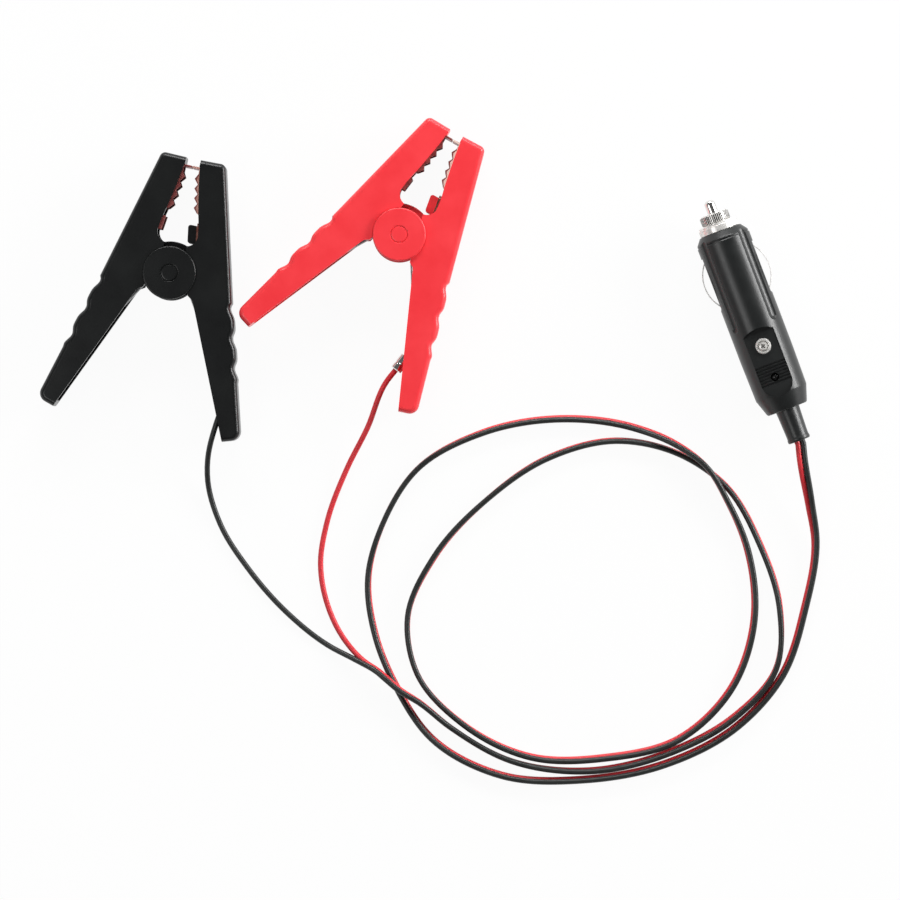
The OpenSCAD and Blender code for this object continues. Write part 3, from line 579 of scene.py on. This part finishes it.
SHEET = 0.9
JAW_FRONT = 41.2
LIP_X = (0.15, 10.95)
TONGUE_FROM = 21             # the wire jaw's upper side stops here
TEETH, TOOTH_PITCH, TOOTH_BACK, TOOTH_DEEP, TOOTH_LEAN = 4, 3.6, 1.9, 1.25, 0.176
TOOTH_X, TOOTH_Y = 1.9, 36.6 # the first tooth's tip
toothed_edge = []
for i in range(TEETH):
    for k in (0, 1):
        y = TOOTH_Y - i * TOOTH_PITCH - k * TOOTH_BACK
        toothed_edge.append((TOOTH_X + (TOOTH_Y - y) * TOOTH_LEAN + k * TOOTH_DEEP, y))
jaw_side = [(2.9, JAW_FRONT - 0.4), (2.9, 38.5), *toothed_edge, (6.4, 23.6), (8.2, 22.4), (8.2, 20.8),
    (5.7, 20.8), (6.4, 15.5), (9.4, 15.5), (9.4, 21.8), (15.8, 21.8), (11, JAW_FRONT - 0.4)]


def strip(points, width):
    """A band of a width along a line."""
    side = []
    for i, p in enumerate(points):
        a, b = Vector(points[max(i - 1, 0)]), Vector(points[min(i + 1, len(points) - 1)])
        along = (b - a).normalized()
        side.append(Vector((-along.y, along.x)) * width / 2)
    ring = [Vector(p) + s for p, s in zip(points, side)]
    ring += [Vector(p) - s for p, s in zip(points[::-1], side[::-1])]
    return [tuple(p) for p in ring]


def jaw(tongue):
    """Toothed copper-plated channel: two toothed sides, a back and a folded front. The wire jaw has a
    tongue behind, and its upper side leaves room for the rolled tab."""
    edge = [p for p in jaw_side if p[1] > TONGUE_FROM] if tongue else jaw_side
    top = soften(prism(edge, INNER - SHEET, INNER), 0.14, 2)
    under = soften(prism(jaw_side, -INNER, -INNER + SHEET), 0.14, 2)
    lip = [(LIP_X[0], JAW_FRONT - 0.8), (LIP_X[1], JAW_FRONT - 0.8), (LIP_X[1], JAW_FRONT),
        (LIP_X[0], JAW_FRONT)]
    back = prism(strip([(10.7, JAW_FRONT - 0.4), (15.1, 23.2)], SHEET), -INNER + 0.2, INNER - 0.2)
    steps = [(JOIN, under), (JOIN, soften(prism(lip, -INNER, INNER), 0.18, 2)), (JOIN, back)]
    if tongue:
        steps.append((JOIN, prism(strip([(14.9, 24.2), (15.6, 21.2)], SHEET), -2.4, 2.4)))
    return combine(top, *steps)


def rolled_tab():
    """The end of the jaw's sheet, bent down from the jaw's wall beside the lug."""
    inside, outside, half_length, slant = 2.3, 2.7, 3.3, 9
    band = [*arc((0, 0), inside, 284, 352, 14), *arc((0, 0), outside, 352, 284, 14)]
    bm = soften(prism(band, -half_length, half_length), 0.1, 2)
    # Drawn as (across, up), then laid along the jaw and turned to follow the lever's edge.
    return turned(bm, Matrix.Translation((6.0, 16.1, NOSE_TOP + 2.75))
        @ Matrix.Rotation(math.radians(slant), 4, "Z") @ Matrix.Rotation(math.pi / 2, 4, "X"))


def tooth_shade_film():
    """A film of painted shade over the plate along the edges of the upper row of teeth."""
    film = 0.02
    inner = [(x + (0.25 if k % 2 else 0.75), y) for k, (x, y) in enumerate(toothed_edge)]
    return prism([(2.9, 38.5), *toothed_edge, *inner[::-1], (3.3, 38.5)], INNER - SHEET - film, INNER + film)


# ---------- pivots, springs and terminals ----------

def pivot_base():
    """The under disc with its shaft, whose end shows in the top disc."""
    low = -HALF_T - EAR_PLAY
    foot, end = low - DISC_T, -low + DISC_T
    flat = DISC_R - DISC_ROUND
    rim = [(flat + DISC_ROUND * math.sin(a), foot + DISC_ROUND - DISC_ROUND * math.cos(a)) for a in QUARTER]
    return lathe([(0, foot), (flat, foot), *rim, (DISC_R, foot + DISC_ROUND), (DISC_R, low), (SHAFT_R, low),
        (SHAFT_R, end - 0.35), (SHAFT_R - 0.15, end - 0.1), (SHAFT_R - 0.45, end), (SHAFT_R - 0.6, end),
        (0, end)])


def pivot_cap():
    """The top disc, pressed on the shaft's end, with a small step round the hole."""
    low = HALF_T + EAR_PLAY
    top = low + DISC_T
    flat = DISC_R - DISC_ROUND
    hole = SHAFT_R + 0.02
    rim = [(flat + DISC_ROUND * math.cos(a), top - DISC_ROUND + DISC_ROUND * math.sin(a)) for a in QUARTER]
    return lathe([(hole, low), (DISC_R, low), (DISC_R, top - DISC_ROUND), *rim, (flat, top),
        (DISC_R - 0.6, top), (SHAFT_R + 0.5, top), (SHAFT_R + 0.38, top), (SHAFT_R + 0.25, top - 0.07),
        (SHAFT_R + 0.2, top - 0.35), (hole, top - 0.35), (hole, low)])


SPRING_R = 0.9               # the torsion spring's wire


def coil_line():
    """The torsion spring's line: a leg, the coil and the other leg."""
    radius, turns, leg, leg_angle, gap = 4.6, 4, 28, math.radians(238.5), 0.48
    start = leg_angle - math.pi / 2
    sweep = 2 * start - math.pi + 2 * math.pi * turns
    pitch = 2 * SPRING_R + gap
    steps = 96
    coil = []
    for i in range(steps + 1):
        a = start - sweep * i / steps
        coil.append(Vector((radius * math.cos(a), radius * math.sin(a),
            pitch * sweep / (2 * math.pi) * (0.5 - i / steps))))
    top = Vector((math.cos(leg_angle), math.sin(leg_angle), 0))
    low = Vector((-top.x, top.y, 0))
    along_leg = (1.5, leg / 2, leg)
    return [coil[0] + d * top for d in along_leg[::-1]] + coil + [coil[-1] + d * low for d in along_leg]


def wire_mesh(name, line, radius, material, matrix):
    """A round wire as a mesh, placed."""
    curve = wire_curve("work", line, radius, material)
    bpy.context.view_layer.update()
    mesh = bpy.data.meshes.new_from_object(curve.evaluated_get(bpy.context.evaluated_depsgraph_get()))
    bpy.data.objects.remove(curve)
    mesh.transform(matrix)
    made = bpy.data.objects.new(name, mesh)
    bpy.context.scene.collection.objects.link(made)
    return made


def terminal(crimp, wire):
    """A plated strip down the handle, rolled into a barrel round the wire."""
    end = Vector(crimp)
    along = Vector(wire)
    front = end + along * CRIMP_L / 2
    points = [(14.3, 23.6), (15.3, 14), (18.1, -6), tuple(front + Vector((0.6, 0.5))),
        tuple(front - 1.5 * along)]
    bm = soften(prism(strip(points, 0.8), -2.5, 2.5), 0.12, 2)
    barrel = lathe([(1.15, -3.2), (1.9, -3.2), (2.2, -2.9), (2.2, -1.2), (2.06, -0.9), (2.06, -0.3), (2.2, 0),
        (2.2, 2.9), (1.9, 3.2), (1.15, 3.2), (1.15, -3.2)], 48)
    turned(barrel, Matrix.Translation((end.x, end.y, 0))
        @ Matrix.Rotation(math.atan2(along.y, along.x), 4, "Z") @ LIE_X)
    return combine(bm, (JOIN, barrel))


shapes = {"wire": lever(True), "free": lever(False)}
for colour, clamp in CLAMPS.items():
    at = placing(clamp["at"], (-clamp["turn"], "Z"))
    plastic = red_abs if colour == "red" else black_abs
    paint = f"{colour}_plastic"
    free = f"{colour}_free_half"
    place(f"{colour}_wire_handle", shapes["wire"].copy(), at, plastic, "lead",
        [f"{colour}_wire_lever"])
    place(f"{colour}_spring_guard", guard(), at, plastic, "lead", [])
    place(f"{colour}_free_handle", shapes["free"].copy(), at @ MIRROR, plastic, free,
        [f"{colour}_free_lever"])
    # The red clamp's wire jaw takes the painted highlight; sheet edges, the tooth film and the free jaws the
    # painted shade.
    copper = (copper_painted_highlight if colour == "red" else clean_copper, copper_painted_shade)
    place(f"{colour}_wire_teeth", jaw(True), at, copper, "lead", [f"{colour}_wire_jaw"])
    place(f"{colour}_rolled_tab", rolled_tab(), at, rolled_copper, "lead", [])
    place(f"{colour}_tooth_shade_film", tooth_shade_film(), at, copper_painted_shade, "lead", [])
    place(f"{colour}_free_teeth", jaw(False), at @ MIRROR, copper_painted_shade, free,
        [f"{colour}_free_jaw"])
    place(f"{colour}_pivot_base", pivot_base(), at, plastic, "lead", [f"{colour}_pivot_post"])
    place(f"{colour}_pivot_disc", pivot_cap(), at, plastic, "lead", [f"{colour}_pivot_cap"])
    place(f"{colour}_crimp_strip", terminal(clamp["crimp"], clamp["wire"]), at, bright_nickel, "lead",
        [f"{colour}_terminal"])
    spring = wire_mesh(f"{colour}_torsion_spring", coil_line(), SPRING_R, spring_wire, at)
    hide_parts(f"{colour}_spring")
    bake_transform(spring)


# ---------- plug ----------

at_plug = placing(PLUG_AT, (-PLUG_TURN, "Z"), (90, "Y"), (180 + PLUG_ROLL, "Z"))
BARREL_R = 10.35
NOSE_L = 15.2
PANEL_X = 8.2                # the panel's height over the plug's axis
PANEL_HALF = 6
PANEL_FRONT = 53.3
PANEL_REAR = 73              # where the panel's round end starts
CRESCENT_AT, CRESCENT_R, CRESCENT_DEEP = 63.04, 11.44, 1.3
RIB_GROOVES, RIB_FIRST, RIB_PITCH = 7, 66.075, 1.17
SCREW_T = 58.6               # places along the plug's axis
LAMP_T = 71
GROOVE_R = 3.2
GROOVE_OUT = 2.3             # from the barrel's surface to the groove's axis
GROOVE_END = 48.6
GROOVE_TURN = 48
CONTACT_HALF = 2.2           # half the side contacts' slots
FLAT_Y = 9.9
BOW_MID = 30.35
BOW_HALF = 9.95
KNURLS, KNURL_ROOT, KNURL_TOP = 48, 5.15, 5.6
PARTING = 0.03               # half the hairline between the two shells


def bored(radius, low, high, steps=48):
    """A narrow disc, as for a drilled hole."""
    return disc(radius, low, high, steps)


def cuboid(x, y, z):
    """A box from its range along each axis."""
    return prism([(x[0], y[0]), (x[1], y[0]), (x[1], y[1]), (x[0], y[1])], *z)


def joined(first, *others):
    """Several bmeshes that don't touch, as one."""
    for other in others:
        mesh = bpy.data.meshes.new("work")
        other.to_mesh(mesh)
        other.free()
        first.from_mesh(mesh)
        bpy.data.meshes.remove(mesh)
    return first


def barrel_solid():
    """The turned barrel with the fuse chamber and, on each side, the side contact's pocket, slot and flat."""
    profile = [(0, 9.6), (5.9, 9.6), (5.9, 12.4), (7.9, 12.4), (8.2, 12.5), (9.9, 14.7), (10.1, 15.1),
        (10.15, 15.5), (9.98, 15.6), (9.98, 15.85), (10.2, 15.95), (BARREL_R, 16.2), (BARREL_R, 30),
        (BARREL_R, 46), (BARREL_R, 62), (10.1, 77.2), (10.02, 77.7), (9.85, 78.1), (8.15, 83.2), (7.9, 83.75),
        (7.5, 84), (0, 84)]
    steps = [(CUT, bored(3.55, 9, 53)), (CUT, bored(6.4, 52, 79.5)),
        (CUT, bored(3.7, 79, 85))]
    for side in (Matrix.Identity(4), FLIP_Y):
        pocket = cuboid((-CONTACT_HALF, CONTACT_HALF), (6, 9.1), (17, 57))
        slot = cuboid((-CONTACT_HALF, CONTACT_HALF), (6, 11), (BOW_MID - BOW_HALF, BOW_MID + BOW_HALF))
        flat = prism([(20, FLAT_Y), (40, FLAT_Y), (42, 11), (20, 11)], -6, 6)
        steps += [(CUT, turned(pocket, side)), (CUT, turned(slot, side)), (CUT, turned(flat, side @ SIDE_ON))]
    return combine(lathe(profile, 160), *steps)


def groove(degrees):
    """A long round groove that ends in a spoon."""
    end = [(GROOVE_R * math.cos(a), GROOVE_END + GROOVE_R * math.sin(a))
        for a in (0.26, 0.52, 0.79, 1.05, 1.31)]
    bm = lathe([(0, NOSE_L - 4), (GROOVE_R, NOSE_L - 4), (GROOVE_R, GROOVE_END), *end,
        (0, GROOVE_END + GROOVE_R)])
    return turned(bm, Matrix.Rotation(math.radians(degrees), 4, "Z")
        @ Matrix.Translation((BARREL_R + GROOVE_OUT, 0, 0)))


def panel_cuts():
    """The flat panel with its round rear end, the deep crescent in front of it and its cross grooves."""
    front = cuboid((PANEL_X, 12), (-PANEL_HALF, PANEL_HALF), (PANEL_FRONT, PANEL_REAR))
    bow = [(CRESCENT_AT - CRESCENT_R * math.cos(a), CRESCENT_R * math.sin(a))
        for a in [math.radians(3.5 * k) for k in range(-9, 10)]]
    moon = [(-t, y) for t, y in bow if abs(y) < PANEL_HALF] + [(-53.35, PANEL_HALF), (-53.35, -PANEL_HALF)]
    crescent = prism(moon, PANEL_X - CRESCENT_DEEP, 12)
    rear = prism([(-PANEL_REAR - 5.6 * math.cos(a), PANEL_HALF * math.sin(a))
        for a in [math.radians(5 * i) for i in range(72)]], PANEL_X, 12)
    # Each groove's shoulders are round, so the lands between them stand up as ribs.
    flank = [(0.275, -0.8), (0.275, -0.3), (0.34, -0.12), (0.45, 0), (0.45, 0.2)]
    section = [(-w, h) for w, h in flank[::-1]] + flank
    ribs = [turned(prism([(PANEL_X + h, RIB_FIRST + RIB_PITCH * i + w) for w, h in section],
        -PANEL_HALF, PANEL_HALF), Matrix.Rotation(math.pi / 2, 4, "X")) for i in range(RIB_GROOVES)]
    return [(CUT, front), (CUT, turned(crescent, LIE_X)), (CUT, turned(rear, LIE_X)), (CUT, joined(*ribs))]


def half_shell(upper):
    """The upper shell with its grooves, panel and holes, or the lower one with the screw's boss."""
    side = cuboid((PARTING, 12), (-12, 12), (0, 90)) if upper else cuboid((-12, -PARTING), (-12, 12), (0, 90))
    steps = [(KEEP, side)]
    if upper:
        steps += [(CUT, groove(-GROOVE_TURN)), (CUT, groove(GROOVE_TURN)), *panel_cuts()]
        for radius, t in ((1.5, SCREW_T), (1.6, LAMP_T)):
            steps.append((CUT, moved(turned(bored(radius, 0, 12), LIE_X), 0, 0, t)))
    else:
        steps.append((JOIN, moved(turned(bored(2.8, -8, -PARTING), LIE_X), 0, 0, SCREW_T)))
        steps.append((CUT, moved(turned(bored(1.3, -5, 7), LIE_X), 0, 0, SCREW_T)))
    return combine(barrel_solid(), *steps)


def panel_screw():
    """A pan-head screw: a domed rim, a turned trench, and a cross recess in the middle."""
    top = PANEL_X
    bm = lathe([(0, -4.6), (1.1, -4.6), (1.3, -4.3), (1.3, top), (2.85, top), (2.95, top + 0.12),
        (2.94, top + 0.5), (2.84, top + 0.8), (2.66, top + 0.98), (2.4, top + 1.02), (2.12, top + 0.95),
        (2.04, top + 0.1), (1.6, top + 0.1), (1.54, top + 1.15), (1.44, top + 1.4), (1.2, top + 1.48),
        (0.6, top + 1.5), (0, top + 1.5)], 96)
    a, b = 1.2, 0.34             # the recess's half length and half width
    cross = prism([(b, b), (a, b), (a, -b), (b, -b), (b, -a), (-b, -a), (-b, -b), (-a, -b), (-a, b), (-b, b),
        (-b, a), (b, a)], top + 0.1, top + 2)
    deep = [v for v in cross.verts if v.co.z < top + 1]
    bmesh.ops.scale(cross, vec=(0.55, 0.55, 1), verts=deep)
    turned(cross, Matrix.Rotation(math.radians(20), 4, "Z"))
    return turned(combine(bm, (CUT, cross)), Matrix.Translation((0, 0, SCREW_T)) @ LIE_X)


def lamp():
    """A small round-nosed lamp on two legs, set back in its hole."""
    legs = [moved(bored(0.25, 0.4, 3.5, 16), s * 0.7, 0, 0) for s in (-1, 1)]
    lens = lathe([(0, 3.4), (1.45, 3.4), (1.5, 3.5), (1.5, 6.0), (1.44, 6.4), (1.2, 6.95), (0.85, 7.25),
        (0.45, 7.42), (0, 7.5)], 64)
    return turned(joined(lens, *legs), Matrix.Translation((0, 0, LAMP_T)) @ LIE_X)


def centre_contact():
    """The sprung tip: a round-nosed pin on a collar."""
    return lathe([(0, 0), (0.5, 0.03), (1.0, 0.14), (1.45, 0.36), (1.8, 0.7), (2.02, 1.15), (2.1, 1.7),
        (2.1, 6.7), (2.95, 6.7), (3.1, 6.85), (3.1, 8.25), (2.95, 8.4), (0, 8.4)], 64)


def knurled_cap():
    """A cap with flat-topped ridges between two plain collars, bored for the centre contact."""
    ridges = []
    for i in range(KNURLS):
        for part, radius in ((0, KNURL_ROOT), (1.2, KNURL_ROOT), (2.9, KNURL_TOP), (5.8, KNURL_TOP)):
            a = math.radians(360 / KNURLS * i + part)
            ridges.append((radius * math.cos(a), radius * math.sin(a)))
    chamfered = lathe([(0, 5.4), (5.25, 5.4), (KNURL_TOP, 5.75), (KNURL_TOP, 8.55), (5.3, 8.85), (0, 8.85)])
    collar = lathe([(0, 5.2), (4.85, 5.2), (5.0, 5.3), (5.0, 5.6), (0, 5.6)])
    return combine(prism(ridges, 5.3, 8.9), (KEEP, chamfered), (JOIN, collar), (JOIN, bored(4.72, 8.7, 9.6)),
        (CUT, bored(2.18, 4.2, 9.2)), (CUT, bored(3.6, 6.4, 11)))


def front_ring():
    """The plated ring with its stepped double rim."""
    return lathe([(5.9, 9.55), (5.9, 12.35), (7.4, 12.35), (7.58, 12.25), (7.65, 12.05), (7.65, 10.25),
        (7.58, 10.1), (7.32, 9.98), (7.3, 9.5), (7.22, 9.22), (7.0, 9.1), (4.8, 9.1), (4.8, 9.55),
        (5.9, 9.55)], 128)


def side_contact():
    """A bowed leaf spring with a flat foot at each end."""
    radius, height, thick, half_width = 13.762, -0.712, 0.4, 1.8
    line = [(42.7, 9.1), *arc((BOW_MID, height), radius, 45.48, 134.52, 40), (18, 9.1), (18, 8.7),
        *arc((BOW_MID, height), radius - thick, 135.22, 44.78, 40), (42.7, 8.7)]
    return turned(soften(prism(line, -half_width, half_width), 0.09, 2), SIDE_ON)


def boot():
    """The strain relief: a slim taper with a rolled bead round its mouth."""
    end = PLUG_L
    return lathe([(0, 77), (5.5, 77), (5.6, 77.1), (5.6, 79), (3.7, 79), (3.7, 84), (4.5, 84), (4.6, 84.12),
        (4.52, 85.5), (4.36, 89), (4.2, 93), (4.15, end - 2), (4.17, end - 1.7), (4.3, end - 1.35),
        (4.36, end - 0.95), (4.32, end - 0.5), (4.18, end - 0.15), (3.95, end), (2.8, end), (2.6, end - 0.15),
        (2.5, end - 0.6), (2.45, end - 2.6), (0, end - 2.6)], 96)


def fuse_caps():
    """The fuse's two end caps, with the fuse wire between them."""
    front = lathe([(0, 8.4), (2.95, 8.4), (3.14, 8.48), (3.2, 8.7), (3.2, 14.2), (3.12, 14.4), (0, 14.4)], 64)
    rear = turned(front.copy(), Matrix.Translation((0, 0, 46.8)) @ Matrix.Scale(-1, 4, (0, 0, 1)))
    return joined(front, rear, bored(0.2, 14.4, 32.4, 12))


def solder_tab():
    """The spring's brass terminal: a disc with a tab for the red conductor."""
    disc_part = lathe([(0, 51), (3.45, 51), (3.55, 51.1), (3.55, 51.7), (3.45, 51.8), (0, 51.8)], 64)
    return combine(disc_part, (JOIN, soften(cuboid((-0.4, 0.4), (-1, 1), (51.5, 55)), 0.12, 2)))


def resistor():
    """The lamp's resistor, waisted between its end bulges, on its leads."""
    ends = lathe([(0, 66.2), (0.7, 66.2), (1.05, 66.45), (1.1, 66.8), (1.1, 67.5), (1.0, 67.8), (1.0, 69.6),
        (1.1, 69.9), (1.1, 70.6), (1.05, 70.95), (0.7, 71.2), (0, 71.2)], 48)
    return moved(combine(ends, (JOIN, bored(0.3, 64.5, 73, 16))), -0.9, 0, 0)


FUSE_BACK, SPRING_BACK = 38.4, 51
COIL_R, COIL_WIRE, COIL_STEPS = 2.5, 0.7, 144
# name, shape, finish, body, CAD node, material slot
PLUG_PIECES = [
    ("plug_upper_half", half_shell(True), plug_abs, "lead", "upper_shell", "black_plastic"),
    ("plug_lower_half", half_shell(False), plug_abs, "lead", "lower_shell", "black_plastic"),
    ("pan_head_screw", panel_screw(), turned_nickel, "lead", "panel_screw", "nickel"),
    ("smoked_lamp", lamp(), lamp_epoxy, "lead", "indicator_lamp", "lamp_lens"),
    ("tip_pin", centre_contact(), bright_nickel, "tip_and_fuse", "centre_contact", "nickel"),
    ("knurled_cap", knurled_cap(), (turned_nickel, knurl_painted_shade), "screw_cap", "screw_cap", "nickel"),
    ("plated_ring", front_ring(), turned_nickel, "lead", "front_ring", "nickel"),
    ("left_leaf", side_contact(), leaf_nickel_painted_reflection, "left_contact", "left_contact", "nickel"),
    ("right_leaf", turned(side_contact(), FLIP_Y), leaf_nickel_painted_reflection, "right_contact", "right_contact",
        "nickel"),
    ("boot", boot(), boot_pvc, "lead", "strain_relief", "black_plastic"),
    ("fuse_end_caps", fuse_caps(), bright_nickel, "tip_and_fuse", "fuse_caps", "nickel"),
    ("fuse_barrel", lathe([(2.3, 14.4), (2.9, 14.4), (2.9, 32.4), (2.3, 32.4), (2.3, 14.4)], 64), fuse_tube,
        "tip_and_fuse", "fuse_glass", "glass"),
    ("solder_tab", solder_tab(), brass, "lead", "spring_terminal", "brass"),
    ("series_resistor", resistor(), resistor_coat, "lead", "lamp_resistor", "resistor_body"),
]
for name, bm, finish, body, node, paint in PLUG_PIECES:
    place(name, bm, at_plug, finish, body, [node], 30, in_knurl)

fuse_coil = [Vector((COIL_R * math.cos(a), COIL_R * math.sin(a),
    FUSE_BACK + COIL_WIRE / 2 + (SPRING_BACK - FUSE_BACK - COIL_WIRE) * i / COIL_STEPS))
    for i, a in enumerate([math.radians(15 * k) for k in range(COIL_STEPS + 1)])]
fuse_spring = wire_mesh("contact_spring", fuse_coil, COIL_WIRE / 2, spring_wire, at_plug)
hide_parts("fuse_spring")
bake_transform(fuse_spring)

CONDUCTORS = {
    "red": (red_pvc, [(0, -1.05, 77), (0, -1.05, 75), (-2.6, -2.1, 70), (-2.8, -4.2, 64), (-2.8, -4.4, 58.5),
        (-2.2, -3, 56), (-1.1, -1, 54.6), (-1.1, -1, 53)]),
    "black": (black_pvc, [(0, 1.05, 77), (0, 1.05, 75), (-2.6, 2.1, 70), (-2.8, 3.8, 62), (-1, 5.2, 58),
        (0, 7, 53.5), (0, 7.6, 44)]),
}
for colour, (finish, path) in CONDUCTORS.items():
    wire = wire_mesh(f"inner_{colour}_conductor", smooth_route(path, 1), CONDUCTOR_R, finish, at_plug)
    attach(wire, "lead")
    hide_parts(f"plug_{colour}_wire")
